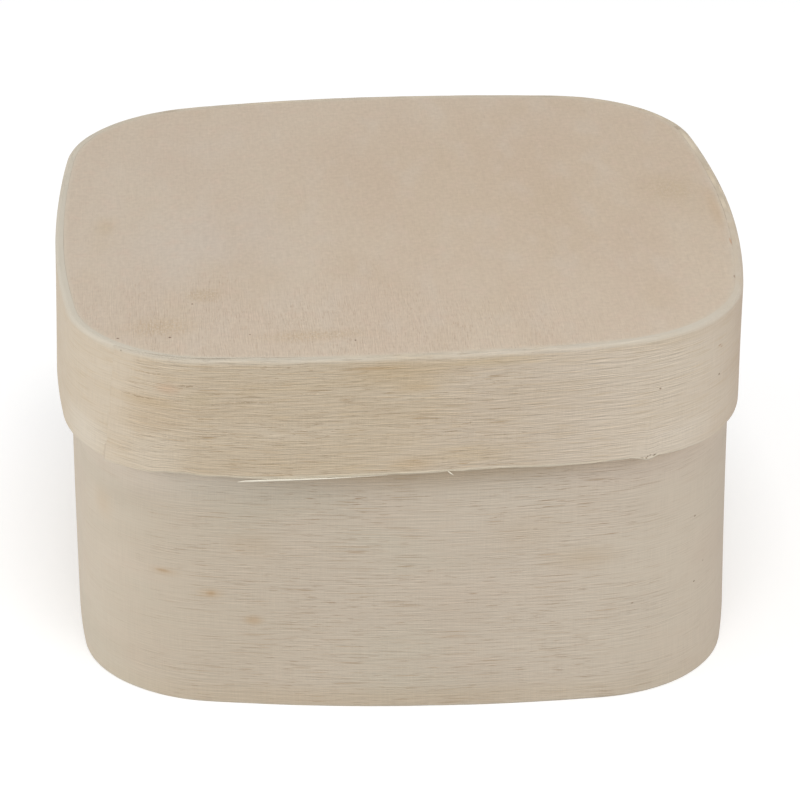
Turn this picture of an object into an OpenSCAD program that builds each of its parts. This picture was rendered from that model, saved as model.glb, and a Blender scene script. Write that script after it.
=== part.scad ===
// Bentwood keepsake box: a square box with bowed sides, round corners and a lift-off lid.
// The wall and the lid band are strips of thin wood, bent round a form. Each strip's ends
// are thinned to a taper and glued where they overlap. A plywood panel is glued into the
// foot of the wall, and another into the top of the lid band.
// The origin is the middle of the underside. +Z is up, and the front is -Y.

/* [Outline] */
// Width over the wall, between the middles of two opposite sides
box_w = 96.9; // [80:0.1:120]
// Radius of the slow bow of a side, at the wall's outer face
side_r = 208; // [160:1:400]
// Radius of a round corner, at the wall's outer face
corner_r = 21.4; // [14:0.1:28]

/* [Wall] */
// Height of the wall
wall_h = 52.3; // [35:0.1:90]
// Thickness of the wall's strip
wall_t = 1.2; // [0.8:0.05:2]
// Length over which the wall's two ends overlap
wall_lap = 24; // [12:0.5:30]
// Direction that the wall's seam faces, in degrees anticlockwise from +X
wall_seam_angle = 96; // [60:1:130]

/* [Base] */
// Thickness of the base panel
base_t = 3; // [2:0.1:6]

/* [Lid] */
// Height of the lid band
lid_h = 17.7; // [12:0.1:30]
// Thickness of the lid band's strip
lid_t = 1.2; // [0.8:0.05:2]
// Thickness of the lid panel
lid_panel_t = 3; // [2:0.1:6]
// Gap all round between the wall and the lid band
lid_gap = 0.35; // [0.3:0.05:1]
// Length over which the lid band's two ends overlap
lid_lap = 22; // [12:0.5:26]
// Direction that the lid band's seam faces, in degrees anticlockwise from +X
lid_seam_angle = 222; // [200:1:250]

/* [Overlaps and glue] */
// Thickness left at the tapered tip of a strip
lap_tip = 0.12; // [0.08:0.01:0.2]
// Length over which a strip climbs on to its own other end
lap_climb = 12; // [8:0.5:14]
// Thickness of the glue in an overlap
lap_glue = 0.08; // [0.05:0.01:0.12]
// Thickness of the glue round a panel
panel_glue = 0.1; // [0.05:0.01:0.3]
// How far the glue stays back from an open edge
glue_back = 0.4; // [0.2:0.1:0.9]

/* [Hidden] */

// Steps that draw the curve of a side and of a corner
side_steps = 10;
corner_steps = 24;
// Two points of an outline closer than this are one point
same_point = 0.01;

// Form that each strip is bent round, measured outwards from the wall's outer face
wall_form = -wall_t;
lid_form = lid_gap;

// Heights, from the underside
lid_seat_z = wall_h;
box_h = lid_seat_z + lid_panel_t;
lid_foot_z = box_h - lid_h;

// A side's arc and a corner's arc meet where both face the same way
side_back = side_r - box_w / 2;
side_half = acos(side_back / ((side_r - corner_r) * sqrt(2))) - 45;
corner_turn = 90 - 2 * side_half;
corner_at = (side_r - corner_r) * sin(side_half);

// How much a strip's outer face rises where it lies on its own other end
lap_rise = lap_tip + lap_glue;

function facing(angle) = [cos(angle), sin(angle)];
function turned(p, angle) = [p.x * cos(angle) - p.y * sin(angle), p.x * sin(angle) + p.y * cos(angle)];
function arc_length(radius, angle) = radius * angle * PI / 180;
function arc_angle(radius, length) = length / radius * 180 / PI;

// Lengths along the outline of a form, off being the form's distance from the wall's outer face
function side_run(off) = arc_length(side_r + off, 2 * side_half);
function corner_run(off) = arc_length(corner_r + off, corner_turn);
function quarter_run(off) = side_run(off) + corner_run(off);
function full_run(off) = 4 * quarter_run(off);

// Length along a form's outline at which it faces the given direction
function run_facing(off, angle) =
    let (quarter = floor((angle + side_half) / 90))
    let (turn = angle - 90 * quarter)
    quarter * quarter_run(off) + (turn < side_half
        ? arc_length(side_r + off, turn + side_half)
        : side_run(off) + arc_length(corner_r + off, turn - side_half));

// Point beside a form's outline, at a length along it and a height out from it
function beside(off, run, out) =
    let (quarter = floor(run / quarter_run(off)))
    let (rest = run - quarter * quarter_run(off))
    let (on_side = rest < side_run(off))
    let (turn = on_side
        ? arc_angle(side_r + off, rest) - side_half
        : arc_angle(corner_r + off, rest - side_run(off)) + side_half)
    let (centre = on_side ? [-side_back, 0] : [corner_at, corner_at])
    let (radius = (on_side ? side_r : corner_r) + off + out)
    turned(centre + radius * facing(turn), 90 * quarter);

// Even steps along a form's outline that lie between two lengths
function steps_between(off, from, to) = [
    for (quarter = [-4 : 8], step = [0 : side_steps + corner_steps - 1])
        let (run = quarter * quarter_run(off) + (step < side_steps
            ? side_run(off) * step / side_steps
            : side_run(off) + corner_run(off) * (step - side_steps) / corner_steps))
        if (run > from + same_point && run < to - same_point) run
];

// A strip runs from its inner tip, once round the form and over itself to its outer tip
function inner_tip(off, seam, lap) = run_facing(off, seam) - lap;
function stations(off, marks) = [
    for (i = [0 : len(marks) - 1])
        each i == 0 ? [marks[0]] : concat(steps_between(off, marks[i - 1], marks[i]), [marks[i]])
];
function ease(share) = (1 - cos(180 * min(max(share, 0), 1))) / 2;
function climb(off, tip, run) = lap_rise * ease((run - tip - full_run(off)) / lap_climb + 1);

// Height of a strip's inner and outer face over the form
function face_in(off, tip, lap, thick, run) =
    climb(off, tip, run) + (thick - lap_tip) * max(run - tip - full_run(off), 0) / lap;
function face_out(off, tip, lap, thick, run) =
    run < tip + lap
        ? lap_tip + (thick - lap_tip) * (run - tip) / lap
        : climb(off, tip, run) + thick;

function backwards(list) = [for (i = [len(list) - 1 : -1 : 0]) list[i]];

// Outline of a whole strip, seen from above
module strip(off, seam, lap, thick) {
    tip = inner_tip(off, seam, lap);
    again = tip + full_run(off);
    runs = stations(off, [tip, tip + lap, again - lap_climb, again, again + lap]);
    polygon(concat(
        [for (run = runs) beside(off, run, face_out(off, tip, lap, thick, run))],
        [for (run = backwards(runs)) beside(off, run, face_in(off, tip, lap, thick, run))]
    ));
}

// Outline of the glue between a strip's two ends
module lap_film(off, seam, lap, thick) {
    tip = inner_tip(off, seam, lap);
    runs = stations(off, [tip, tip + lap]);
    once_round = [for (run = backwards(runs)) run + full_run(off)];
    polygon(concat(
        [for (run = runs) beside(off, run, face_out(off, tip, lap, thick, run))],
        [for (run = once_round) beside(off, run, face_in(off, tip, lap, thick, run))]
    ));
}

// Outline of a panel that stands inside a strip, less the glue round it
module panel_face(off) {
    polygon([for (run = steps_between(off, -same_point * 2, full_run(off)))
        beside(off, run, -panel_glue)]);
}

// Outline of the glue between a panel and the strip round it
module panel_film(off, seam, lap, thick) {
    tip = inner_tip(off, seam, lap);
    again = tip + full_run(off);
    difference() {
        polygon([for (run = stations(off, [tip, again - lap_climb, again]))
            beside(off, run, face_in(off, tip, lap, thick, run))]);
        panel_face(off);
    }
}

// Turns an outline over, left to right, so that its seam opens the other way
module turned_over() {
    mirror([1, 0, 0]) children();
}
function seam_turned_over(angle) = 180 - angle;

// The wall, its outer end lying towards the back
module body_wall() {
    color("#c3b5a0")
        linear_extrude(wall_h) strip(wall_form, wall_seam_angle, wall_lap, wall_t);
}

// The glue in the wall's overlap
module body_lap_glue() {
    color("#d8c79a")
        translate([0, 0, glue_back])
            linear_extrude(wall_h - 2 * glue_back) lap_film(wall_form, wall_seam_angle, wall_lap, wall_t);
}

// The plywood base, flush with the wall's foot
module base_panel() {
    color("#c4b39b")
        linear_extrude(base_t) panel_face(wall_form);
}

// The glue round the base
module base_panel_glue() {
    color("#d8c79a")
        translate([0, 0, glue_back])
            linear_extrude(base_t - 2 * glue_back) panel_film(wall_form, wall_seam_angle, wall_lap, wall_t);
}

// The lid's band, its seam at the front left corner
module lid_band() {
    color("#c9b899")
        translate([0, 0, lid_foot_z])
            linear_extrude(lid_h)
                turned_over() strip(lid_form, seam_turned_over(lid_seam_angle), lid_lap, lid_t);
}

// The glue in the lid band's overlap
module lid_lap_glue() {
    color("#d8c79a")
        translate([0, 0, lid_foot_z + glue_back])
            linear_extrude(lid_h - 2 * glue_back)
                turned_over() lap_film(lid_form, seam_turned_over(lid_seam_angle), lid_lap, lid_t);
}

// The plywood lid top, flush with the band's upper edge, resting on the wall's rim
module lid_panel() {
    color("#c8b7a2")
        translate([0, 0, lid_seat_z])
            linear_extrude(lid_panel_t) turned_over() panel_face(lid_form);
}

// The glue round the lid top
module lid_panel_glue() {
    color("#d8c79a")
        translate([0, 0, lid_seat_z + glue_back])
            linear_extrude(lid_panel_t - 2 * glue_back)
                turned_over() panel_film(lid_form, seam_turned_over(lid_seam_angle), lid_lap, lid_t);
}

body_wall();
base_panel();
body_lap_glue();
base_panel_glue();
lid_band();
lid_panel();
lid_lap_glue();
lid_panel_glue();
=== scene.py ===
import bpy
import numpy as np
from mathutils import Matrix


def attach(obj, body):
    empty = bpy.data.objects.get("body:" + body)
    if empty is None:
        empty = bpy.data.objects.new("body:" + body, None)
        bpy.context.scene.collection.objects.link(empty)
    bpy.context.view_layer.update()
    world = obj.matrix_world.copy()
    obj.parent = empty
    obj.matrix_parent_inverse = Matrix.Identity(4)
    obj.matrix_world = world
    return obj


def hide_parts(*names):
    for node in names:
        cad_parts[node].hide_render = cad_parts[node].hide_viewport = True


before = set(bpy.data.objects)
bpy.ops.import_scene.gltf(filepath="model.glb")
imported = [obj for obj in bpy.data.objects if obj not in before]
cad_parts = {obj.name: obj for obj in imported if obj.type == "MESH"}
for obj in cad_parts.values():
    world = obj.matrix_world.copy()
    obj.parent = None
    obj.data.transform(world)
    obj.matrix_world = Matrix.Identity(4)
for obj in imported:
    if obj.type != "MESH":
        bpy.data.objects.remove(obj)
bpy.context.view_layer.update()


print("frame loaded")

# Lengths are in millimetres until a mesh is made. A place on a strip is run, the length
# along its form, out, the height outwards from the form, and z.
mmPerMetre = 1000
nearZero = 1e-9
form = {
    "boxWidth": 96.9,
    "sideRadius": 208,
    "cornerRadius": 21.4,
    "boxHeight": 55.3,
    "lapTip": 0.12,
    "lapGlue": 0.08,
    "lapClimb": 12,
    "glueBack": 0.4,
}
sideBack = form["sideRadius"] - form["boxWidth"] / 2
cornerReach = form["sideRadius"] - form["cornerRadius"]
sideHalf = np.arccos(sideBack / (cornerReach * np.sqrt(2))) - np.pi / 4
cornerTurn = np.pi / 2 - 2 * sideHalf
cornerAt = cornerReach * np.sin(sideHalf)
lapRise = form["lapTip"] + form["lapGlue"]

# How this hand-made box departs from its form: the twist between foot and top, the lean,
# the tilt of the top, the lid band's flare, slow waves round each outline, by cycles, and
# the swell of one corner, as its direction, width and height. Angles are in degrees.
# halfWidth and squareness measure the way out from the middle, and lidFrom and lidRise
# tell how far the lid hides the wall.
skew = {
    "twist": -2.821,
    "twistMiddle": -4.245,
    "twistMean": -1.3,
    "leanX": 0.493,
    "leanY": -0.392,
    "topTilt": 0.015,
    "flareTop": -0.08,
    "flareFoot": 0.225,
    "flareHeight": 17.7,
    "boxShiftFoot": 0.42,
    "boxShiftRim": 0.1,
    "wavesCos": {2: 0.063, 3: 0.162, 4: -0.017},
    "wavesSin": {2: -0.045, 3: -0.159, 4: 0.047},
    "boxWaveCos": 0.22,
    "swell": (135, 20, 0.34),
    "halfWidth": 50,
    "squareness": 4.7,
    "lidFrom": 34,
    "lidRise": 18.3,
}


# Lengths along the form: of one side's arc, of a side and a corner, and of the whole turn
def sideRun(off):
    return (form["sideRadius"] + off) * 2 * sideHalf


def quarterRun(off):
    return sideRun(off) + (form["cornerRadius"] + off) * cornerTurn


def fullRun(off):
    return 4 * quarterRun(off)


# Length along the form at which it faces a direction: whole quarters, then the part of
# the side's arc or of the corner's arc
def runFacing(off, degrees):
    quarter = np.floor((degrees + np.degrees(sideHalf)) / 90)
    turn = np.radians(degrees - 90 * quarter)
    onSide = (form["sideRadius"] + off) * (turn + sideHalf)
    onCorner = sideRun(off) + (form["cornerRadius"] + off) * (turn - sideHalf)
    return quarter * quarterRun(off) + (onSide if turn < sideHalf else onCorner)


# Places turned round the origin by an angle
def turned(x, y, angle):
    return x * np.cos(angle) - y * np.sin(angle), x * np.sin(angle) + y * np.cos(angle)


# Point beside the form: the centre of the side's or corner's arc plus its radius, height
# included, in the direction faced, turned by whole quarters
def beside(off, run, out):
    quarter = np.floor(run / quarterRun(off))
    rest = run - quarter * quarterRun(off)
    onSide = rest < sideRun(off)
    facing = np.where(
        onSide,
        rest / (form["sideRadius"] + off) - sideHalf,
        (rest - sideRun(off)) / (form["cornerRadius"] + off) + sideHalf,
    )
    radius = np.where(onSide, form["sideRadius"], form["cornerRadius"]) + off + out
    x = np.where(onSide, -sideBack, cornerAt) + radius * np.cos(facing)
    y = np.where(onSide, 0, cornerAt) + radius * np.sin(facing)
    return turned(x, y, quarter * np.pi / 2)


# Three times the square less twice the cube of a share that is held between 0 and 1
def smooth(share):
    share = np.clip(share, 0, 1)
    return share * share * (3 - 2 * share)


# Values of a table of places and values, joined by straight lines
def tableAt(runs, table):
    return np.interp(runs, *np.array(table).T)


# Puts the hand-made departures on points: slow waves of the radius and a swell of one
# corner, growing from the middle as the square of the share of the way out, then a twist,
# lean and tilt that are smooth functions of height
def bend(x, y, z, onBox):
    around = np.arctan2(y, x)
    radius = np.hypot(x, y) + nearZero
    power = skew["squareness"]
    share = ((np.abs(x) ** power + np.abs(y) ** power) ** (1 / power) / skew["halfWidth"]) ** 2
    inLid = smooth((z - skew["lidFrom"]) / skew["lidRise"])
    wave = 0 * x
    for cycles, height in skew["wavesCos"].items():
        wave = wave + height * np.cos(cycles * around)
    for cycles, height in skew["wavesSin"].items():
        wave = wave + height * np.sin(cycles * around)
    facing, width, swelling = skew["swell"]
    wave = wave + swelling * np.exp(-((np.degrees(around) - facing) / width) ** 2)
    if onBox:
        wave = wave + skew["boxWaveCos"] * np.cos(4 * around) * (1 - inLid)
    else:
        drop = (form["boxHeight"] - z) / skew["flareHeight"]
        wave = wave + skew["flareTop"] + (skew["flareFoot"] - skew["flareTop"]) * drop
    grown = 1 + wave * share / radius
    depth = (form["boxHeight"] - z) / form["boxHeight"]
    twist = np.radians(skew["twist"] * depth + skew["twistMiddle"] * depth * (1 - depth))
    x, y = turned(x * grown, y * grown, twist)
    x = x + skew["leanX"] * depth
    y = y + skew["leanY"] * depth
    z = z + x * skew["topTilt"] * (1 - depth)
    if onBox:
        x = x + skew["boxShiftFoot"] * (1 - inLid) + skew["boxShiftRim"] * inLid
    x, y = turned(x, y, -np.radians(skew["twistMean"]))
    return x, y, z


# Random heights at even knots, joined by straight lines
def scatter(run, step, size, seed):
    knots = np.arange(run.min() - step, run.max() + 2 * step, step)
    return np.interp(run, knots, np.random.RandomState(seed).uniform(-size, size, len(knots)))


# Sum of random heights at several spacings, each with its share of the size and its seed
def fray(run, size, layers):
    return sum(scatter(run, step, size * share, seed) for step, share, seed in layers)


# Sum of sine waves that come round to the same height after a whole turn of the strip
def roundWave(run, wholeRun, cycles, seed):
    phases = np.random.RandomState(seed).uniform(0, 2 * np.pi, len(cycles))
    waves = [np.sin(2 * np.pi * n * run / wholeRun + phase) for n, phase in zip(cycles, phases)]
    return sum(waves) / len(cycles)


# Makes the object from points in millimetres, faces of four corners and of three, and a UV
# for every corner. spec gives its body and the nodes that it replaces.
def makePiece(name, points, quads, triangles, uvQuads, uvTriangles, edge, material, spec):
    mesh = bpy.data.meshes.new(name)
    mesh.from_pydata((points / mmPerMetre).tolist(), [], quads.tolist() + triangles.tolist())
    layer = mesh.uv_layers.new(name="grain")
    layer.data.foreach_set("uv", np.concatenate([uvQuads.ravel(), uvTriangles.ravel()]).astype(np.float32))
    attribute = mesh.attributes.new("edge", "FLOAT", "POINT")
    attribute.data.foreach_set("value", edge.astype(np.float32))
    mesh.polygons.foreach_set("use_smooth", np.ones(len(mesh.polygons), bool))
    mesh.materials.append(material)
    mesh.update()
    piece = bpy.data.objects.new(name, mesh)
    bpy.context.scene.collection.objects.link(piece)
    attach(piece, spec["body"])
    for node in spec["replaces"]:
        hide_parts(node)
    print("made", name, len(mesh.polygons), "faces")
    return piece


# How the grain lies on a strip's cut ends: drawn out over the height, and moved along
endGrain = {"scale": (1, 0.2), "shift": (900, 0)}


# A closed cross-section carried along the run: out and z are stations by corners, and the
# first corner joins the last. Both ends are closed by joining each corner to its opposite.
def sweep(name, spec, runs, out, z, across, edge, material, slide=0):
    stations, corners = out.shape
    runGrid = runs[:, None] + slide * np.ones_like(out)
    x, y = beside(spec["off"], runGrid, out)
    if spec["mirror"]:
        x = -x
    points = np.stack(bend(x, y, z, spec["body"] == "box"), -1).reshape(-1, 3)
    index = np.arange(stations * corners).reshape(stations, corners)
    following = np.roll(index, -1, 1)
    sides = np.stack([index[:-1], index[1:], following[1:], following[:-1]], -1).reshape(-1, 4)
    acrossNext = np.concatenate([across[:, 1:], across[:, :1] + spec["perimeter"]], 1)
    uvHere = np.stack([runGrid, across], -1)
    uvNext = np.stack([runGrid, acrossNext], -1)
    uvSides = np.stack([uvHere[:-1], uvHere[1:], uvNext[1:], uvNext[:-1]], 2).reshape(-1, 4, 2)
    lower = np.arange(corners // 2 - 1)
    pairs = np.stack([lower, lower + 1, corners - 2 - lower, corners - 1 - lower], -1)
    caps = np.concatenate([index[0][pairs], index[-1][pairs][:, ::-1]])
    uvCaps = uvHere.reshape(-1, 2)[caps] * endGrain["scale"] + endGrain["shift"]
    quads = np.concatenate([sides, caps])
    uvQuads = np.concatenate([uvSides, uvCaps])
    if spec["mirror"]:
        quads, uvQuads = quads[:, ::-1], uvQuads[:, ::-1]
    noFaces, noUv = np.zeros((0, 3), int), np.zeros((0, 3, 2))
    piece = makePiece(name, points, quads, noFaces, uvQuads, noUv, edge.ravel(), material, spec)
    piece.data.polygons.foreach_set("use_smooth", np.arange(len(quads)) < len(sides))
    return piece


# The steps of a rounded edge, the heights near an edge, where the even rows start, how much
# of the height they leave out when they are counted, and the share of the half thickness
# that the first and last corner reach
section = {"roundSteps": 5, "near": (0.12, 0.3, 0.55, 0.9), "rowsFrom": 1.4, "rowsLess": 3, "capReach": 0.04}


# Corners of a strip's cross-section: up the outer face, over the rim, down the inner face.
# side is +1 outside, reach the share of the half thickness, inset the rounding in mm.
def crossSection(height, spacing, footRound, rimRound):
    def half(foot, rim):
        turn = np.linspace(0, np.pi / 2, section["roundSteps"])[1:-1]
        near = np.array(section["near"]) + foot
        far = height - rim - np.array(section["near"][::-1])
        rowCount = int((height - section["rowsLess"]) / spacing)
        rows = np.linspace(foot + section["rowsFrom"], height - rim - section["rowsFrom"], rowCount)
        z = np.concatenate([
            [0, 0], foot - foot * np.cos(turn), [foot], near, rows,
            far, [height - rim], height - rim + rim * np.sin(turn), [height, height],
        ])
        inset = np.concatenate([
            [0, foot], foot - foot * np.sin(turn), [0], 0 * near, 0 * rows,
            0 * far, [0], rim - rim * np.cos(turn), [rim, 0],
        ])
        reach = np.ones(len(z))
        reach[[0, -1]] = section["capReach"]
        return z, inset, reach
    outer, inner = half(footRound[0], rimRound[0]), half(footRound[1], rimRound[1])
    z, inset, reach = (np.concatenate([a, b[::-1]]) for a, b in zip(outer, inner))
    side = np.concatenate([np.ones(len(outer[0])), -np.ones(len(inner[0]))])
    return side, reach, inset, z


# Heights of a strip's faces over the form. The inner end grows from its tip over the lap,
# and the outer end climbs on to it and thins to its own tip.
def climb(spec, run):
    share = np.clip((run - spec["tip"] - spec["fullRun"]) / form["lapClimb"] + 1, 0, 1)
    return lapRise * (1 - np.cos(np.pi * share)) / 2


def faceIn(spec, run):
    past = np.maximum(run - spec["tip"] - spec["fullRun"], 0)
    return climb(spec, run) + (spec["thickness"] - form["lapTip"]) * past / spec["lap"]


def faceOut(spec, run):
    growing = form["lapTip"] + (spec["thickness"] - form["lapTip"]) * (run - spec["tip"]) / spec["lap"]
    return np.where(run < spec["tip"] + spec["lap"], growing, climb(spec, run) + spec["thickness"])


# Adds to a strip's values where it starts and ends, from the direction its seam faces
def placeSeam(spec):
    facing = 180 - spec["seamFacing"] if spec["mirror"] else spec["seamFacing"]
    spec["fullRun"] = fullRun(spec["off"])
    spec["tip"] = runFacing(spec["off"], facing) - spec["lap"]
    spec["end"] = spec["tip"] + spec["fullRun"] + spec["lap"]
    spec["perimeter"] = 2 * (spec["top"] - spec["foot"] + spec["thickness"])


# How both bent strips are finished: the outer end's thinning and pressing down, the slow
# waves of the faces, the fray of the edges, as spacing, share of the size and seed, and
# how far the edges are worn
finish = {
    "thinEnd": 0.1, "thinRun": 6, "slideRun": 6, "pressRun": 2.3, "pressRise": 2.4, "pressClear": 0.02,
    "roundMost": 0.7, "faceCycles": (9, 14, 23), "faceSeed": 5, "faceWaveHeight": 9, "faceWavePhase": 1.3,
    "footFray": ((0.8, 0.5, 11), (2.3, 0.6, 12), (9, 1, 13)), "rimFray": ((1.5, 0.5, 14), (11, 1, 15)),
    "frayPower": 6, "rimWear": 1.1, "innerDown": 0.3, "footWear": 0.75, "footUp": 0.5,
}


# How worn each corner is: most at the rim, down the outer face by edgeDown and down the
# inner face by a little, and some at the foot
def wornEdges(spec, runs, side, height):
    fromRim = height.max() - height
    outside = np.clip(finish["rimWear"] - fromRim / spec["edgeDown"], 0, 1)
    inside = np.clip(1 - fromRim / finish["innerDown"], 0, 1)
    atFoot = np.clip(finish["footWear"] - height / finish["footUp"], 0, 1)
    edge = np.maximum(np.where(side > 0, outside, inside), atFoot)
    return edge * tableAt(runs, spec["wornLine"])[:, None]


# A whole bent strip: the cross-section set between the two faces at each station, with
# slow waves of the faces, worn rim and foot lines, and a slanted outer end that is pressed
# down on to the layer below it, except near its foot
def bentStrip(name, spec, material):
    side, reach, inset, height = crossSection(
        spec["top"] - spec["foot"], spec["rowSpacing"], spec["footRound"], spec["rimRound"])
    runs = np.linspace(spec["tip"], spec["end"], int((spec["end"] - spec["tip"]) / spec["stationSpacing"]))
    toEnd = (spec["end"] - runs)[:, None]
    share = height / height.max()
    slideAtEnd = spec["endSlide"][0] + (spec["endSlide"][1] - spec["endSlide"][0]) * share[None]

    inner, outer = faceIn(spec, runs)[:, None], faceOut(spec, runs)[:, None]
    thin = finish["thinEnd"] + (1 - finish["thinEnd"]) * smooth(toEnd / finish["thinRun"])
    outer = inner + (outer - inner) * thin
    taper = (spec["thickness"] - form["lapTip"]) / spec["lap"]
    gapBelow = form["lapGlue"] + finish["pressClear"] - slideAtEnd * taper
    nearEnd = 1 - smooth(toEnd / finish["pressRun"])
    pressed = gapBelow * nearEnd * smooth(height / finish["pressRise"])[None]
    halfThick = (outer - inner) / 2
    rounding = np.minimum(inset, finish["roundMost"] * halfThick) * (reach == 1)
    out = (inner + outer) / 2 - pressed + side * (halfThick * reach - rounding)
    faceWave = roundWave(runs, spec["fullRun"], finish["faceCycles"], finish["faceSeed"])[:, None]
    upWave = np.sin(height / finish["faceWaveHeight"] + finish["faceWavePhase"])[None]
    out = out + spec["faceWave"] * faceWave * upWave

    footLine = tableAt(runs, spec["footLine"]) + fray(runs, spec["footFray"], finish["footFray"])
    rimLine = fray(runs, spec["rimFray"], finish["rimFray"])
    power = finish["frayPower"]
    lift = footLine[:, None] * (1 - share) ** power + rimLine[:, None] * share ** power
    z = spec["foot"] + height[None] + lift
    slide = smooth((spec["lap"] - toEnd) / finish["slideRun"]) * slideAtEnd
    down = 2 * height.max() + spec["thickness"] - height
    across = spec["foot"] + np.where(side > 0, height, down)[None] + 0 * out
    return sweep(name, spec, runs, out, z, across, wornEdges(spec, runs, side, height), material, slide)


# A panel: rings of the outline, scaled from the middle, for the upper face, the rounded
# edge and the lower face, closed by a fan at each middle
def panel(name, spec, material):
    around = np.linspace(0, fullRun(spec["off"]), spec["around"], endpoint=False)
    x, y = beside(spec["off"], around, -tableAt(around, spec["gapLine"]))
    if spec["mirror"]:
        x = -x
    foot, top, rounding = spec["foot"], spec["top"], spec["rounding"]
    turn = np.linspace(0, np.pi / 2, spec["roundSteps"])
    plain = np.linspace(*spec["plainRings"], spec["rings"])
    upper = np.concatenate([plain, spec["rimRings"]])
    roundShare = rounding / skew["halfWidth"]
    shares = np.concatenate([
        upper, 1 - roundShare + roundShare * np.sin(turn),
        1 - roundShare + roundShare * np.cos(turn), upper[::-1],
    ])
    z = np.concatenate([
        top + 0 * upper, top - rounding + rounding * np.cos(turn),
        foot + rounding - rounding * np.sin(turn), foot + 0 * upper,
    ])
    gridX, gridY = shares[:, None] * x, shares[:, None] * y
    (lengthX, phaseX), (lengthY, phaseY) = spec["waves"]
    wave = spec["unevenness"] * np.sin(gridX / lengthX + phaseX) * np.cos(gridY / lengthY + phaseY)
    gridZ = z[:, None] + wave * (z[:, None] > foot + rounding)
    gridX = np.concatenate([gridX.ravel(), [0, 0]])
    gridY = np.concatenate([gridY.ravel(), [0, 0]])
    gridZ = np.concatenate([gridZ.ravel(), [top, foot]])
    points = np.stack(bend(gridX, gridY, gridZ, spec["body"] == "box"), -1)
    rows, count = len(shares), len(around)
    index = np.arange(rows * count).reshape(rows, count)
    following = np.roll(index, -1, 1)
    quads = np.stack([index[:-1], index[1:], following[1:], following[:-1]], -1).reshape(-1, 4)
    topFan = np.stack([0 * index[0] + rows * count, index[0], following[0]], -1)
    footFan = np.stack([0 * index[0] + rows * count + 1, following[-1], index[-1]], -1)
    triangles = np.concatenate([topFan, footFan])
    below = np.where(np.arange(rows) >= rows // 2, spec["underShift"], 0)
    uv = np.stack([gridY[:-2] + np.repeat(below, count), gridX[:-2]], -1)
    uv = np.concatenate([uv, [[0, 0], [spec["underShift"], 0]]])
    if spec["mirror"]:
        quads, triangles = quads[:, ::-1], triangles[:, ::-1]
    wornFrom, wornWidth, wornMost = spec["wornRim"]
    worn = np.clip((shares - wornFrom) / wornWidth, 0, wornMost)
    edge = np.concatenate([np.repeat(worn, count), [0, 0]])
    return makePiece(name, points, quads, triangles, uv[quads], uv[triangles], edge, material, spec)


# A thin film between two heights over the form, with square corners
def film(name, spec, runs, inner, outer, material):
    foot, top = spec["foot"] + form["glueBack"], spec["top"] - form["glueBack"]
    out = np.stack([outer, outer, inner, inner], 1)
    z = np.array([foot, top, top, foot]) + 0 * out
    piece = sweep(name, dict(spec, perimeter=1), runs, out, z, z, 0 * out, material)
    piece.data.polygons.foreach_set("use_smooth", np.zeros(len(piece.data.polygons), bool))
    return piece


# How far one step of a noise's shift moves it along, across and into its pattern
shiftStep = (1.37, 2.11, 1)


# One output socket of a shader node. Sums and products of wires add the nodes that work
# them out, and node() adds any other node from its settings and the values of its inputs.
class Wire:
    def __init__(self, tree, socket=None):
        self.tree = tree
        self.socket = socket

    def node(self, kind, settings=None, inputs=None, output=0):
        made = self.tree.nodes.new("ShaderNode" + kind)
        for name, value in (settings or {}).items():
            setattr(made, name, value)
        for name, value in (inputs or {}).items():
            if isinstance(value, Wire):
                self.tree.links.new(value.socket, made.inputs[name])
            else:
                made.inputs[name].default_value = value
        return Wire(self.tree, made.outputs[output] if made.outputs else None)

    def work(self, operation, *values):
        vectors = any(isinstance(v, Wire) and v.socket.type in ("VECTOR", "RGBA") for v in values)
        if vectors:
            values = [v if isinstance(v, (Wire, tuple)) else (v, v, v) for v in values]
        kind = "VectorMath" if vectors else "Math"
        return self.node(kind, {"operation": operation}, dict(enumerate(values)))

    def __add__(self, other):
        return self.work("ADD", self, other)

    def __radd__(self, other):
        return self.work("ADD", other, self)

    def __sub__(self, other):
        return self.work("SUBTRACT", self, other)

    def __rsub__(self, other):
        return self.work("SUBTRACT", other, self)

    def __mul__(self, other):
        return self.work("MULTIPLY", self, other)

    def __rmul__(self, other):
        return self.work("MULTIPLY", other, self)

    # Rises smoothly from 0 to 1 between two values of this wire
    def between(self, low, high):
        return self.node("MapRange", {"interpolation_type": "SMOOTHSTEP"},
                         {"Value": self, "From Min": low, "From Max": high})

    # The colour that is this share of the way from one to another. The numbers are those of
    # the Mix node's colour sockets.
    def blend(self, first, second):
        return self.node("Mix", {"data_type": "RGBA"}, {0: self, 6: first, 7: second}, 2)

    # This colour, mixed towards another by a share
    def mix(self, share, colour):
        return share.blend(self, colour)

    # Noise with patches of the given size in mm along and across the grain. shift picks
    # another stretch of the same noise.
    def noise(self, along, across, shift, detail, rough=0.5):
        at = self * (1 / along, 1 / across, 1) + tuple(shift * step for step in shiftStep)
        inputs = {"Vector": at, "Scale": 1.0, "Detail": float(detail), "Roughness": rough}
        return self.node("TexNoise", {}, inputs)

    # The same noise, spread evenly below and above 0
    def centred(self, *noise):
        return self.noise(*noise) - 0.5

    # Light and dark lines in pairs, as ridges lit from above: noise less the same noise a
    # little further across the grain
    def relief(self, along, across, shift, step=0.8, detail=0.5):
        further = self + (0, across * step, 0)
        return self.noise(along, across, shift, detail) - further.noise(along, across, shift, detail)

    # This place, moved along one axis by a noise times a reach in mm
    def stray(self, axis, reach, *noise):
        return self + self.node("CombineXYZ", {}, {axis: self.centred(*noise) * reach})

    # A soft round or long mark: 1 in its middle, falling to 0 at its ends
    def mark(self, at, size, core):
        apart = (self - (at[0], at[1], 0)) * (1 / size[0], 1 / size[1], 0)
        far = apart.node("VectorMath", {"operation": "LENGTH"}, {0: apart}, 1)
        return 1 - far.between(core, 1.0)


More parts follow.
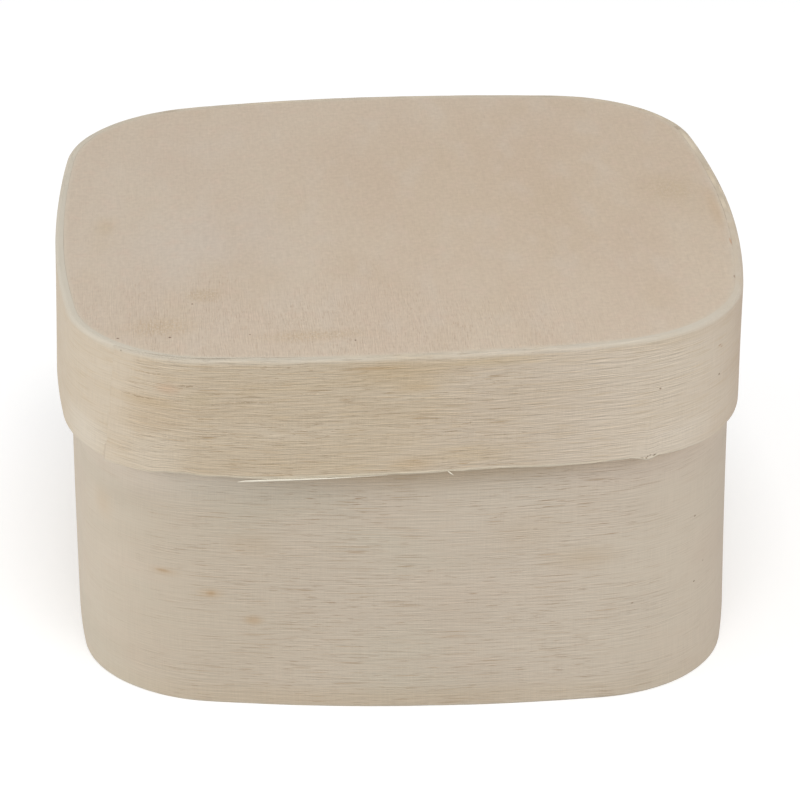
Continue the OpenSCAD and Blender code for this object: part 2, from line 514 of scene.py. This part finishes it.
# The emptied node tree of a material or world, as a wire to start from
def emptyTree(holder):
    holder.use_nodes = True
    holder.node_tree.nodes.clear()
    return Wire(holder.node_tree)


# How far bumps of full height stand out, in metres
bumpHeight = 0.0002


# Gives a material its colour, its roughness and the bumps of a height
def coat(start, colour, rough, height, bump, specular):
    bumps = start.node("Bump", {}, {"Strength": bump, "Distance": bumpHeight, "Height": height})
    shader = start.node("BsdfPrincipled", {}, {
        "Base Color": colour, "Roughness": rough, "Normal": bumps, "Specular IOR Level": specular,
    })
    start.node("OutputMaterial", {}, {"Surface": shader})


# A screen turns tones from 0 to 255 into light by a straight line, then by a power
screen = {"white": 255, "straightTo": 0.04045, "slope": 12.92, "offset": 0.055, "power": 2.4}


# A tone as it shows on a screen, as the linear colour that nodes work with
def linear(red, green, blue):
    share = np.array([red, green, blue]) / screen["white"]
    curved = ((share + screen["offset"]) / (1 + screen["offset"])) ** screen["power"]
    value = np.where(share <= screen["straightTo"], share / screen["slope"], curved)
    return tuple(float(v) for v in value) + (1.0,)


# What the looks of the woods share: noises as sizes in mm along and across the grain, shift
# and detail, or what a look leaves out of these, and how strongly each acts
woodNoise = {
    "wander": (3, 1), "loose": (30, 7, 71, 2), "looseReach": 26, "torn": (0.9, 0.9, 63, 1), "tornReach": 0.5,
    "cloud": (7, 3), "calm": (9, 5, 51, 2), "calmRange": 0.9, "calmedShare": 0.8,
    "patchDetail": 2, "layer": (2, 0.55), "layerBump": 2, "veilDetail": 1,
    "poreRegion": (17, 4), "poreRegionShift": 4, "poreRegionDetail": 2, "poreRegionRange": (0.25, 0.65),
    "poreDetail": 1, "poreDepth": 0.4,
    "broken": (0.45, 0.3, 61, 1), "brokenRange": (0.36, 0.56), "worn": (3, 0.5, 21, 3), "wornRange": 0.4,
    "bumpRough": 0.15, "specular": 0.25,
}


# A raw wood: two cloudy tones, layers of grain, short dark pores, faint lines across the
# grain where the knife lifted, placed marks, and a pale sanded edge. Some areas, marks and
# specks are painted shade and painted light; each says so where it stands. In a look, calm,
# bare, areas, cracks, marks and specks give a place and a size in mm, the solid share of the
# size, a tone and its strength. The other lists give a noise's sizes along and across the
# grain, its limits, a tone, a strength and a shift.
def woodMaterial(name, look):
    material = bpy.data.materials.new(name)
    start = emptyTree(material)
    flat = start.node("UVMap", {"uv_map": "grain"})
    wanderAlong, wanderAcross, wanderReach = look["wander"]
    grain = flat.stray("Y", wanderReach, wanderAlong, wanderAcross, *woodNoise["wander"])
    loose = flat.stray("X", woodNoise["looseReach"], *woodNoise["loose"])
    torn = flat.stray("Y", woodNoise["tornReach"], *woodNoise["torn"])
    cloudAlong, cloudAcross, *cloudRange = look["cloud"]
    cloud = grain.noise(cloudAlong, cloudAcross, *woodNoise["cloud"]).between(*cloudRange)
    colour = cloud.blend(look["light"], look["dark"])
    calm = flat.centred(*woodNoise["calm"]) * woodNoise["calmRange"]
    for at, size, core in look["calm"]:
        calm = loose.mark(at, size, core) + calm
    calm = calm.between(0.0, 1.0)
    lively = 1 - calm * woodNoise["calmedShare"]
    porous = lively
    for at, size, core in look["bare"]:
        porous = porous * (1 - flat.mark(at, size, core))
    colour = colour.mix(calm * look["calmStrength"], look["calmTone"])
    for at, size, core, tone, strength in look["areas"]:
        colour = colour.mix(loose.mark(at, size, core) * strength, tone)
    for along, across, low, high, tone, strength, shift in look["patches"]:
        patch = grain.noise(along, across, shift, woodNoise["patchDetail"]).between(low, high)
        colour = colour.mix(patch * strength, tone)
    shade = 1.0
    bumps = 0.0
    for along, across, strength, shift in look["layers"]:
        layer = grain.centred(along, across, shift, *woodNoise["layer"]) * lively
        shade = layer * strength + shade
        bumps = layer * (strength * woodNoise["layerBump"]) + bumps
    for along, across, strength, shift in look["ridges"]:
        layer = grain.relief(along, across, shift) * lively
        shade = layer * strength + shade
        bumps = layer * strength + bumps
    for along, across, strength, shift in look["veils"]:
        shade = flat.centred(along, across, shift, woodNoise["veilDetail"]) * strength + shade
    for along, across, low, high, tone, strength, shift in look["pores"]:
        regionShift = shift + woodNoise["poreRegionShift"]
        region = grain.noise(*woodNoise["poreRegion"], regionShift, woodNoise["poreRegionDetail"])
        region = region.between(*woodNoise["poreRegionRange"]) * porous
        pore = grain.noise(along, across, shift, woodNoise["poreDetail"]).between(low, high) * region
        colour = colour.mix(pore * strength, tone)
        bumps = bumps - pore * woodNoise["poreDepth"]
    for at, size, core, tone, strength in look["marks"]:
        colour = colour.mix(grain.mark(at, size, core) * strength, tone)
    broken = flat.noise(*woodNoise["broken"]).between(*woodNoise["brokenRange"])
    for at, size, core, tone, strength in look["cracks"]:
        colour = colour.mix(torn.mark(at, size, core) * broken * strength, tone)
    for at, size, core, tone, strength in look["specks"]:
        colour = colour.mix(flat.mark(at, size, core) * strength, tone)
    colour = colour * shade
    # The attribute's output 2 is its value as one number
    edge = start.node("Attribute", {"attribute_name": "edge"}, output=2)
    worn = flat.centred(*woodNoise["worn"]) * woodNoise["wornRange"] + edge
    colour = colour.mix(worn.between(0.0, 1.0) * look["edgeStrength"], look["edgeTone"])
    rough = bumps * woodNoise["bumpRough"] + look["roughness"]
    coat(start, colour, rough, bumps, look["bump"], woodNoise["specular"])
    return material


# The wall's strip, its outer end towards the back. footLine gives how far the lower edge is
# raised and wornLine how worn the edges are, at places along the run.
wall = {
    "body": "box", "slot": "wall_wood", "replaces": ["body_wall"], "mirror": False,
    "off": -1.2, "seamFacing": 96, "lap": 24, "thickness": 1.2, "foot": 0, "top": 52.3,
    "stationSpacing": 0.8, "rowSpacing": 1.1,
    "footRound": (0.2, 0.12), "rimRound": (0.3, 0.25),
    "faceWave": 0.03, "footLine": [(0, 0), (1, 0)], "footFray": 0.03, "rimFray": 0.06,
    "endSlide": (0.3, -0.4), "edgeDown": 0.6, "wornLine": [(0, 1), (1, 1)],
}
placeSeam(wall)
wallLook = {
    "light": linear(200, 188, 171), "dark": linear(195, 182, 165), "wander": (30, 8, 0.8),
    "cloud": (26, 11, 0.3, 0.7),
    "calm": [((222, 18), (36, 90), 0.2), ((334, 18), (39, 90), 0.2)],
    "calmStrength": 0.75, "calmTone": linear(206, 194, 176),
    "bare": [],
    "areas": [
        # Partly painted shade: a darker pinkish tone at the right front corner, partly the wood's own tone
        # and partly the light falling off there.
        ((338, 18), (28, 90), 0.0, linear(197, 180, 163), 0.65),
        ((247, 18), (22, 90), 0.3, linear(193, 180, 161), 0.7),
        ((269, 18), (26, 90), 0.3, linear(194, 181, 163), 0.5),
        ((298, 18), (16, 90), 0.3, linear(203, 191, 174), 0.4),
        # Painted light: paler areas just below the lid's edge, left and right of the front, thinning the
        # shade under the lid; they reach up over the wall that the lid hides.
        ((241, 45), (34, 15.5), 0.5, linear(218, 206, 191), 0.75),
        ((314, 45), (30, 15.5), 0.5, linear(214, 198, 181), 0.8),
    ],
    "patches": [
        (15, 9, 0.5, 0.75, linear(200, 184, 166), 0.3, 31),
        (34, 13, 0.5, 0.72, linear(192, 186, 168), 0.3, 37),
        (5, 0.3, 0.5, 0.7, linear(198, 180, 160), 0.25, 33),
    ],
    "layers": [(9, 0.17, 0.09, 1), (1.8, 0.15, 0.06, 5)],
    "ridges": [(5, 0.15, 0.30, 8), (7, 0.28, 0.15, 9)],
    "veils": [(0.10, 4, 0.12, 11), (0.6, 26, 0.03, 12)],
    "pores": [
        (7, 0.17, 0.62, 0.70, linear(166, 141, 112), 0.7, 41),
        (3.2, 0.14, 0.64, 0.71, linear(150, 122, 94), 0.7, 47),
    ],
    "cracks": [],
    "marks": [
        ((241.6, 20.4), (1.5, 0.4), 0.0, linear(164, 134, 100), 0.7),
        ((241.8, 20.3), (3.2, 1.0), 0.0, linear(188, 164, 134), 0.5),
        ((248.4, 17.6), (1.0, 0.6), 0.0, linear(168, 134, 98), 0.7),
        ((248.4, 17.6), (2.6, 1.3), 0.0, linear(190, 166, 134), 0.55),
        ((254.4, 13.6), (2.2, 1.2), 0.0, linear(184, 156, 122), 0.6),
        ((230.8, 28), (3.4, 3.8), 0.0, linear(200, 178, 150), 0.35),
        ((301, 22.6), (8, 3), 0.0, linear(186, 165, 137), 0.38),
        ((293, 27), (9, 5), 0.0, linear(191, 173, 150), 0.32),
        # Painted shade: a warm darker band and a thin warm line just under the lid band's lower edge, where
        # its shadow falls; they stay on the wall when the lid is lifted.
        ((277, 36.6), (30, 3.4), 0.1, linear(192, 170, 140), 0.25),
        ((278, 37.2), (60, 1.9), 0.3, linear(186, 166, 138), 0.3),
        # Darker and yellower along the foot of the wall.
        ((275, 1.2), (60, 3), 0.1, linear(186, 166, 134), 0.25),
        ((254.2, 25.7), (6, 3), 0.0, linear(188, 168, 142), 0.3),
    ],
    "specks": [
        ((318.7, 25.0), (0.3, 0.18), 0.2, linear(130, 105, 85), 0.8),
        ((319.1, 14.6), (0.3, 0.18), 0.2, linear(120, 95, 75), 0.85),
        ((308.2, 14.6), (0.3, 0.16), 0.2, linear(140, 115, 95), 0.7),
        ((321.2, 17.0), (0.25, 0.16), 0.2, linear(150, 125, 105), 0.6),
    ],
    "edgeTone": linear(200, 194, 177), "edgeStrength": 0.6, "roughness": 0.72, "bump": 0.35,
}
wallWood = woodMaterial("wallWood", wallLook)
bentStrip("bodyWall", wall, wallWood)

# The lid band's strip, its outer end coming from the front to the left corner
band = {
    "body": "lid", "slot": "band_wood", "replaces": ["lid_band"], "mirror": True,
    "off": 0.35, "seamFacing": 222, "lap": 22, "thickness": 1.2, "foot": 37.6, "top": 55.3,
    "stationSpacing": 0.45, "rowSpacing": 0.5,
    "footRound": (0.12, 0.12), "rimRound": (0.5, 0.02),
    "faceWave": 0.04, "footFray": 0.09, "rimFray": 0.03,
    "footLine": [
        (-35, -0.3), (-14, -0.5), (-6, -0.1), (0, 0.3), (12, 0.45), (30, 0.3), (60, 0), (200, 0),
        (225, 0.15), (234, 0.1), (238.5, -0.25), (244.6, -0.1), (248, 0.15), (249.2, -0.2),
        (249.9, -0.32), (250.6, 0), (251.4, 0.3), (252.3, 0.42), (260.6, 0.2), (266.3, 0.28),
        (270.4, 0.36), (280.1, 0.18), (284.3, 0), (291, -0.2), (295.3, -0.35), (299.4, -0.5),
        (302.1, -0.5), (306.4, -0.4), (311.9, -0.2), (314.5, 0), (317.3, -0.2), (318.8, -0.5),
        (321.9, -0.5), (324.7, -0.75), (327, -0.8),
    ],
    "endSlide": (-0.5, -1.0), "edgeDown": 0.85,
    "wornLine": [
        (-35, 0.75), (5, 0.9), (30, 1), (50, 0.85), (90, 0.5), (199, 0.35), (225, 0.5), (241, 0.75),
        (255, 0.7), (268, 0.5), (284, 0.5), (296, 0.68), (320, 0.65), (327, 0.75),
    ],
}
placeSeam(band)
bandLook = {
    "light": linear(202, 187, 165), "dark": linear(197, 180, 156), "wander": (40, 7, 1.2),
    "cloud": (30, 4, 0.3, 0.7),
    "calm": [((10, 46), (40, 90), 0.5), ((331, 46), (15, 60), 0.3), ((226, 46), (33, 90), 0.3)],
    "calmStrength": 0.6, "calmTone": linear(208, 195, 176),
    "bare": [((248, 46), (24, 90), 0.5)],
    "areas": [
        ((248, 46), (22, 90), 0.3, linear(210, 197, 180), 0.65),
        # Partly painted shade: a darker pinkish tone at the right front corner, partly the wood's own tone
        # and partly the light falling off there.
        ((222, 46), (26, 90), 0.0, linear(194, 175, 156), 0.75),
        ((298, 46), (28, 90), 0.2, linear(192, 176, 152), 0.5),
        ((268, 46), (18, 90), 0.3, linear(198, 185, 170), 0.4),
    ],
    "patches": [
        (24, 3, 0.5, 0.7, linear(194, 175, 145), 0.25, 31),
        (14, 6, 0.52, 0.75, linear(208, 196, 178), 0.25, 37),
        (5, 0.3, 0.5, 0.7, linear(194, 173, 142), 0.35, 33),
    ],
    "layers": [(12, 0.17, 0.13, 1), (1.5, 0.15, 0.09, 5)],
    "ridges": [(3.4, 0.15, 0.44, 8), (5, 0.3, 0.26, 9)],
    "veils": [(0.11, 3, 0.16, 11), (0.5, 14, 0.03, 12)],
    "pores": [
        (5, 0.16, 0.62, 0.70, linear(166, 136, 98), 0.6, 41),
        (1.6, 0.14, 0.64, 0.71, linear(152, 124, 94), 0.55, 47),
    ],
    "marks": [
        ((289, 53.7), (5.5, 0.4), 0.1, linear(170, 140, 102), 0.55),
        ((285, 52.8), (12, 3.4), 0.1, linear(188, 164, 127), 0.4),
        ((275, 40.4), (10, 2.6), 0.1, linear(192, 170, 134), 0.3),
        ((319, 45.5), (8, 3.2), 0.1, linear(193, 172, 144), 0.25),
        ((317.0, 50.6), (2.6, 1.3), 0.0, linear(196, 160, 130), 0.4),
        ((312.6, 49.4), (3.6, 1.7), 0.0, linear(182, 164, 132), 0.35),
        ((248.75, 37.7), (0.9, 0.2), 0.0, linear(228, 220, 198), 0.6),
        ((-8.5, 40), (9, 5), 0.1, linear(214, 205, 190), 0.5),
        ((246, 39.6), (10, 3.8), 0.1, linear(216, 205, 190), 0.5),
        ((273, 54.2), (12, 1.1), 0.1, linear(196, 174, 134), 0.35),
        ((283, 50.7), (5, 1.4), 0.0, linear(190, 166, 130), 0.4),
        ((320, 48.2), (6, 1.6), 0.0, linear(192, 168, 134), 0.4),
        ((282.5, 39.2), (5, 1.8), 0.1, linear(192, 166, 128), 0.4),
        ((318.5, 40), (7, 4.5), 0.2, linear(212, 202, 186), 0.35),
    ],
    "cracks": [
        ((321.2, 48.65), (3.8, 0.17), 0.2, linear(134, 108, 78), 0.5),
        ((305.1, 48.95), (6.8, 0.16), 0.2, linear(138, 112, 80), 0.42),
        ((314.1, 51.3), (1.9, 0.16), 0.2, linear(126, 102, 72), 0.55),
        ((319.5, 52.6), (4.5, 0.15), 0.2, linear(150, 122, 90), 0.4),
        ((297.5, 50.2), (3.0, 0.15), 0.2, linear(150, 122, 90), 0.4),
    ],
    "specks": [
        # Partly painted highlight: a pale line along the lower edge, partly the worn cut edge and partly a
        # painted highlight where that edge catches the light.
        ((283, 37.7), (48, 0.42), 0.5, linear(216, 206, 184), 0.6),
        ((249.9, 37.9), (0.24, 0.16), 0.1, linear(118, 96, 70), 0.9),
        ((249.7, 38.13), (0.2, 0.12), 0.1, linear(112, 90, 66), 0.9),
        ((249.35, 38.22), (0.24, 0.12), 0.1, linear(118, 96, 70), 0.8),
        ((248.7, 38.0), (0.4, 0.15), 0.1, linear(104, 82, 58), 0.9),
        ((250.5, 37.86), (0.4, 0.12), 0.1, linear(130, 108, 80), 0.7),
        ((324.5, 54.9), (0.25, 0.2), 0.2, linear(120, 92, 66), 0.8),
        ((237.3, 46.3), (0.28, 0.2), 0.2, linear(115, 90, 72), 0.85),
        ((237.7, 50.7), (0.6, 0.16), 0.1, linear(164, 118, 90), 0.6),
        ((237.2, 50.3), (0.4, 0.14), 0.1, linear(160, 112, 84), 0.5),
        ((248.6, 47.7), (0.25, 0.2), 0.2, linear(120, 95, 72), 0.8),
    ],
    "edgeTone": linear(200, 193, 179), "edgeStrength": 0.85, "roughness": 0.7, "bump": 0.5,
}
bandWood = woodMaterial("bandWood", bandLook)
bentStrip("lidBand", band, bandWood)


# A loose sliver of wood at a strip's foot: a section of a few corners that thins to its
# ends, which the tables of height, thickness and place outwards over the run describe
def sliver(name, strip, material, shape):
    spec = dict(strip, replaces=[], perimeter=1)
    runs = np.linspace(*shape["runs"], shape["stations"])
    corners = shape["corners"]
    turn = np.linspace(0, 2 * np.pi, corners, endpoint=False)[None] + np.pi / corners
    half = tableAt(runs, shape["thickLine"])[:, None] / 2
    out = tableAt(runs, shape["outLine"])[:, None] + half * shape["flatness"] * np.sin(turn)
    z = tableAt(runs, shape["heightLine"])[:, None] - half * np.cos(turn)
    return sweep(name, spec, runs, out, z, z, shape["edge"] + 0 * out, material)


# Partly painted highlight: the loose slivers' wood is pale as torn fibre is, and paler still as a painted
# highlight where they catch the light.
fibreAndHighlightWood = woodMaterial("paleFibreAndHighlight", dict(bandLook, edgeTone=linear(234, 228, 212), edgeStrength=1))
sliver("lidEdgeSliver", band, fibreAndHighlightWood, {
    "runs": (286, 306.6), "stations": 60, "corners": 8, "flatness": 1.2, "edge": 1,
    "heightLine": [(286, 37.5), (290, 37.36), (293.9, 37.2), (300.75, 37.0), (305.6, 36.78), (306.6, 36.62)],
    "thickLine": [
        (286, 0.04), (291, 0.1), (296, 0.2), (300, 0.26), (304.6, 0.24), (306, 0.14), (306.6, 0.04),
    ],
    "outLine": [(286, 1.08), (292, 1.2), (306.6, 1.45)],
})
sliver("lidEdgeSplinter", band, fibreAndHighlightWood, {
    "runs": (276.8, 277.7), "stations": 12, "corners": 8, "flatness": 1.2, "edge": 1,
    "heightLine": [(276.8, 37.3), (277.2, 37.55), (277.7, 37.9)],
    "thickLine": [(276.8, 0.04), (277.2, 0.2), (277.7, 0.12)],
    "outLine": [(276.8, 1.3), (277.7, 1.05)],
})

# The plywood panels. gapLine gives the gap to the strip at places round the outline, and the
# rings are shares of the way out from the middle. waves are the lengths and phases of the
# upper face's slow unevenness, and underShift moves the grain of the lower face.
lidTop = {
    "body": "lid", "slot": "lid_plywood", "replaces": ["lid_panel"], "mirror": True,
    "off": 0.35, "foot": 52.3, "top": 55.3, "around": 680, "rings": 26,
    "plainRings": (0.04, 0.967), "rimRings": (0.976, 0.987), "rounding": 0.03, "roundSteps": 5,
    "unevenness": 0.03, "waves": ((13, 1), (17, 2)), "underShift": 300, "wornRim": (0.981, 0.03, 0.6),
    "gapLine": [
        (0, 0.01), (180, 0.01), (198, 0.02), (212, 0.01),
        (220, -0.03), (306, -0.04), (314, 0.01), (340, 0.01),
    ],
}
lidLook = {
    "light": linear(199, 183, 163), "dark": linear(195, 176, 156), "wander": (12, 30, 0.8),
    "cloud": (34, 12, 0.3, 0.7),
    "calm": [((60, 0), (98, 200), 0.72), ((-18, 44), (60, 46), 0.2)],
    "bare": [],
    "calmStrength": 0.2, "calmTone": linear(196, 180, 160),
    "areas": [
        ((-52, 0), (46, 200), 0.0, linear(202, 186, 167), 0.6),
        ((8, -46), (90, 62), 0.1, linear(197, 185, 170), 0.4),
        ((46, -10), (26, 90), 0.1, linear(199, 184, 166), 0.4),
        ((12, 18), (46, 52), 0.1, linear(194, 175, 153), 0.55),
        ((-8, -28), (20, 20), 0.0, linear(194, 183, 172), 0.4),
    ],
    "patches": [
        (22, 12, 0.5, 0.75, linear(192, 173, 149), 0.35, 31),
        (12, 5, 0.48, 0.72, linear(199, 185, 169), 0.4, 35),
        (3, 2.4, 0.5, 0.72, linear(201, 180, 162), 0.3, 37),
    ],
    "layers": [(6, 0.16, 0.18, 1), (2.2, 0.15, 0.16, 5)],
    "ridges": [(4, 0.15, 0.16, 8)],
    "veils": [(0.25, 4, 0.08, 11), (4, 0.25, 0.08, 12), (0.8, 0.7, 0.18, 13), (2.2, 2.0, 0.04, 14)],
    "pores": [
        (3.2, 0.16, 0.60, 0.72, linear(178, 150, 124), 0.4, 41),
        (1.4, 0.15, 0.62, 0.70, linear(172, 144, 118), 0.4, 47),
    ],
    "cracks": [
        ((-25.6, -28.6), (3.6, 3.8), 0.2, linear(180, 158, 126), 0.45),
        ((-36.0, -35.0), (5, 7.5), 0.1, linear(184, 160, 126), 0.45),
        ((-41.2, -14.0), (3, 12), 0.1, linear(184, 160, 128), 0.45),
        ((7.0, 42.0), (9, 7), 0.0, linear(184, 164, 132), 0.4),
    ],
    "marks": [
        ((0.8, -42.6), (6, 2.6), 0.0, linear(186, 166, 136), 0.35),
        ((-1, 47.6), (14, 1.6), 0.0, linear(190, 164, 134), 0.35),
    ],
    "specks": [
        ((-28.4, -30.4), (0.3, 0.2), 0.2, linear(110, 82, 66), 0.8),
        ((-39.6, -33.8), (0.35, 0.3), 0.2, linear(110, 80, 64), 0.85),
        ((-39.2, -41.0), (0.3, 0.3), 0.2, linear(105, 75, 60), 0.85),
        ((-43.4, -8.2), (0.3, 0.2), 0.2, linear(105, 78, 62), 0.85),
        ((-39.8, -22.7), (0.25, 0.2), 0.2, linear(120, 92, 72), 0.8),
        ((-13.6, 48.2), (1.7, 0.2), 0.3, linear(180, 120, 78), 0.85),
        ((-26.4, 47.1), (0.8, 0.26), 0.3, linear(124, 80, 54), 0.9),
    ],
    "edgeTone": linear(203, 193, 176), "edgeStrength": 0.7, "roughness": 0.75, "bump": 0.4,
}
lidWood = woodMaterial("lidPlywood", lidLook)
panel("lidPanel", lidTop, lidWood)
base = dict(
    lidTop, body="box", slot="base_plywood", replaces=["base_panel"], mirror=False,
    off=-1.2, foot=0, top=3, gapLine=[(0, 0.1), (340, 0.1)])
baseLook = dict(lidLook, light=linear(206, 193, 174), dark=linear(196, 180, 157), marks=[], specks=[])
baseWood = woodMaterial("basePlywood", baseLook)
panel("basePanel", base, baseWood)


# Dried glue: clear yellow-brown with a slight sheen, cloudy where it is thick
glueLook = {
    "light": linear(212, 196, 162), "dark": linear(196, 176, 138),
    "cloud": (3, 1.5, 2, 3), "cloudRange": (0.3, 0.7), "roughness": 0.35, "cloudRough": 0.2,
    "bump": 0.4, "specular": 0.4,
}


def glueMaterial(look):
    material = bpy.data.materials.new("driedGlue")
    start = emptyTree(material)
    cloud = start.node("UVMap", {"uv_map": "grain"}).noise(*look["cloud"])
    colour = cloud.between(*look["cloudRange"]).blend(look["light"], look["dark"])
    rough = cloud * look["cloudRough"] + look["roughness"]
    coat(start, colour, rough, cloud, look["bump"], look["specular"])
    return material


driedGlue = glueMaterial(glueLook)

# The films of glue: their stations, how far the lap's film ends before the inner end is
# whole, and the seam left open in a film that goes all round
glueFilm = {"lapStations": 60, "lapShort": 2.4, "roundStations": 420, "seamGap": 0.01}


# The glue in a strip's overlap fills the space between its inner end and its outer end
def lapGlue(name, strip, node):
    spec = dict(strip, slot="wood_glue", replaces=[node])
    last = strip["tip"] + strip["lap"] - glueFilm["lapShort"]
    runs = np.linspace(strip["tip"], last, glueFilm["lapStations"])
    return film(name, spec, runs, faceOut(strip, runs), faceIn(strip, runs + strip["fullRun"]), driedGlue)


# The glue round a panel fills the gap between its edge and the strip
def panelGlue(name, strip, board, node):
    spec = dict(strip, slot="wood_glue", replaces=[node], foot=board["foot"], top=board["top"])
    last = strip["tip"] + strip["fullRun"] - glueFilm["seamGap"]
    runs = np.linspace(strip["tip"], last, glueFilm["roundStations"])
    gap = tableAt(np.mod(runs, fullRun(board["off"])), board["gapLine"])
    return film(name, spec, runs, -gap, faceIn(strip, runs), driedGlue)


# Glue that squeezed out into the corner over the base when it was pressed in, and dried:
# a low ridge of uneven width and height, sunk a little into the wood
def glueBead(name, strip, board, bead):
    spec = dict(strip, slot="wood_glue", replaces=[], perimeter=1)
    last = strip["tip"] + strip["fullRun"] - glueFilm["seamGap"]
    runs = np.linspace(strip["tip"] + strip["lap"], last, bead["stations"])
    size = bead["size"] * (bead["mean"] + fray(runs, 1, bead["unevenness"]))[:, None]
    outward, upward = np.array(bead["section"]).T
    out = faceIn(strip, runs)[:, None] + bead["sunkOut"] + size * outward
    z = board["top"] - bead["sunkDown"] + size * upward
    return sweep(name, spec, runs, out, z, z, 0 * out, driedGlue)


lapGlue("bodyLapGlue", wall, "body_lap_glue")
lapGlue("lidLapGlue", band, "lid_lap_glue")
panelGlue("basePanelGlue", wall, base, "base_panel_glue")
panelGlue("lidPanelGlue", band, lidTop, "lid_panel_glue")
glueBead("baseGlueBead", wall, base, {
    "size": 0.8, "stations": 500, "mean": 0.6, "unevenness": ((7, 0.25, 21), (1.7, 0.12, 22)),
    "sunkOut": 0.05, "sunkDown": 0.02,
    "section": [(0, 0), (0, 0.35), (0, 0.7), (0, 1), (-0.12, 0.62), (-0.3, 0.34), (-0.6, 0.14), (-1, 0)],
})

# Floor, lamps and camera. The floor's side is in metres. A lamp is a place and a size in
# metres and a power in watts. The camera's aim and distance are in mm and its focal length
# in pixels of the photograph. world is the share of the world's light that falls on the box.
stage = {
    "floorSize": 6, "floorTone": (0.8, 0.8, 0.8, 1), "floorGlow": 0.04, "floorWhite": 0.27, "world": 0.57,
    "lamps": [
        ((-0.85, -0.25, 0.28), 0.5, 2.45),
        ((0.8, -0.4, 0.43), 0.5, 1.27),
        ((0.03, -0.38, 0.92), 0.35, 3.15),
    ],
    "lampAim": (0, 0, 0.03),
    "photoWidth": 800, "sensorWidth": 36, "focal": 4400, "nearest": 0.01, "furthest": 20,
    "distance": 662.985, "elevation": 25.061, "yaw": 4.009, "roll": 0.084, "aimX": 1.066, "aimZ": 25.6,
}


# An object's matrix from the directions of its three axes and its place
def placed(x, y, z, place):
    matrix = np.eye(4)
    matrix[:3] = np.stack([x, y, z, place], 1)
    return Matrix(matrix.tolist())


# A matt white floor that glows a little, and more so where the camera sees it directly
def plainFloor():
    mesh = bpy.data.meshes.new("floor")
    side = stage["floorSize"] / 2
    corners = [(-side, -side, 0), (side, -side, 0), (side, side, 0), (-side, side, 0)]
    mesh.from_pydata(corners, [], [(0, 1, 2, 3)])
    material = bpy.data.materials.new("paleFloor")
    start = emptyTree(material)
    matt = start.node("BsdfDiffuse", {}, {"Color": stage["floorTone"]})
    strength = start.node("LightPath") * stage["floorWhite"] + stage["floorGlow"]
    glow = start.node("Emission", {}, {"Color": (1, 1, 1, 1), "Strength": strength})
    start.node("OutputMaterial", {}, {"Surface": start.node("AddShader", {}, {0: matt, 1: glow})})
    mesh.materials.append(material)
    floor = bpy.data.objects.new("floor", mesh)
    bpy.context.scene.collection.objects.link(floor)


def softLamp(place, size, power):
    lamp = bpy.data.lights.new("softLamp", "AREA")
    lamp.size = size
    lamp.energy = power
    holder = bpy.data.objects.new("softLamp", lamp)
    away = np.array(place) - stage["lampAim"]
    z = away / np.linalg.norm(away)
    x = np.cross([0, 0, 1], z)
    x = x / np.linalg.norm(x)
    holder.matrix_world = placed(x, np.cross(z, x), z, place)
    bpy.context.scene.collection.objects.link(holder)


# A white world that the camera sees at full strength and the box in part
def studio():
    world = bpy.data.worlds.new("studio")
    start = emptyTree(world)
    strength = start.node("LightPath") * (1 - stage["world"]) + stage["world"]
    shade = start.node("Background", {}, {"Color": (1, 1, 1, 1), "Strength": strength})
    start.node("OutputWorld", {}, {"Surface": shade})
    bpy.context.scene.world = world
    for lamp in stage["lamps"]:
        softLamp(*lamp)


# The camera stands back along its own view from the point it aims at, turned round Z
def photoCamera():
    lens = bpy.data.cameras.new("photoCamera")
    lens.sensor_fit = "HORIZONTAL"
    lens.sensor_width = stage["sensorWidth"]
    lens.lens = stage["focal"] / stage["photoWidth"] * stage["sensorWidth"]
    lens.clip_start, lens.clip_end = stage["nearest"], stage["furthest"]
    holder = bpy.data.objects.new("photoCamera", lens)
    tilt, roll = np.radians(stage["elevation"]), np.radians(stage["roll"])
    yaw = -np.radians(stage["yaw"] + skew["twistMean"])
    forward = np.array([0, np.cos(tilt), -np.sin(tilt)])
    up = np.array([0, np.sin(tilt), np.cos(tilt)])
    right = np.array([1, 0, 0])
    right, up = right * np.cos(roll) + up * np.sin(roll), up * np.cos(roll) - right * np.sin(roll)
    turn = np.array([[np.cos(yaw), -np.sin(yaw), 0], [np.sin(yaw), np.cos(yaw), 0], [0, 0, 1]])
    aim = np.array([stage["aimX"], 0, stage["aimZ"]])
    place = turn @ (aim - stage["distance"] * forward) / mmPerMetre
    holder.matrix_world = placed(turn @ right, turn @ up, -(turn @ forward), place)
    bpy.context.scene.collection.objects.link(holder)
    bpy.context.scene.camera = holder


plainFloor()
studio()
photoCamera()
bpy.context.scene.view_settings.view_transform = "Standard"
print("floor, light and camera set")
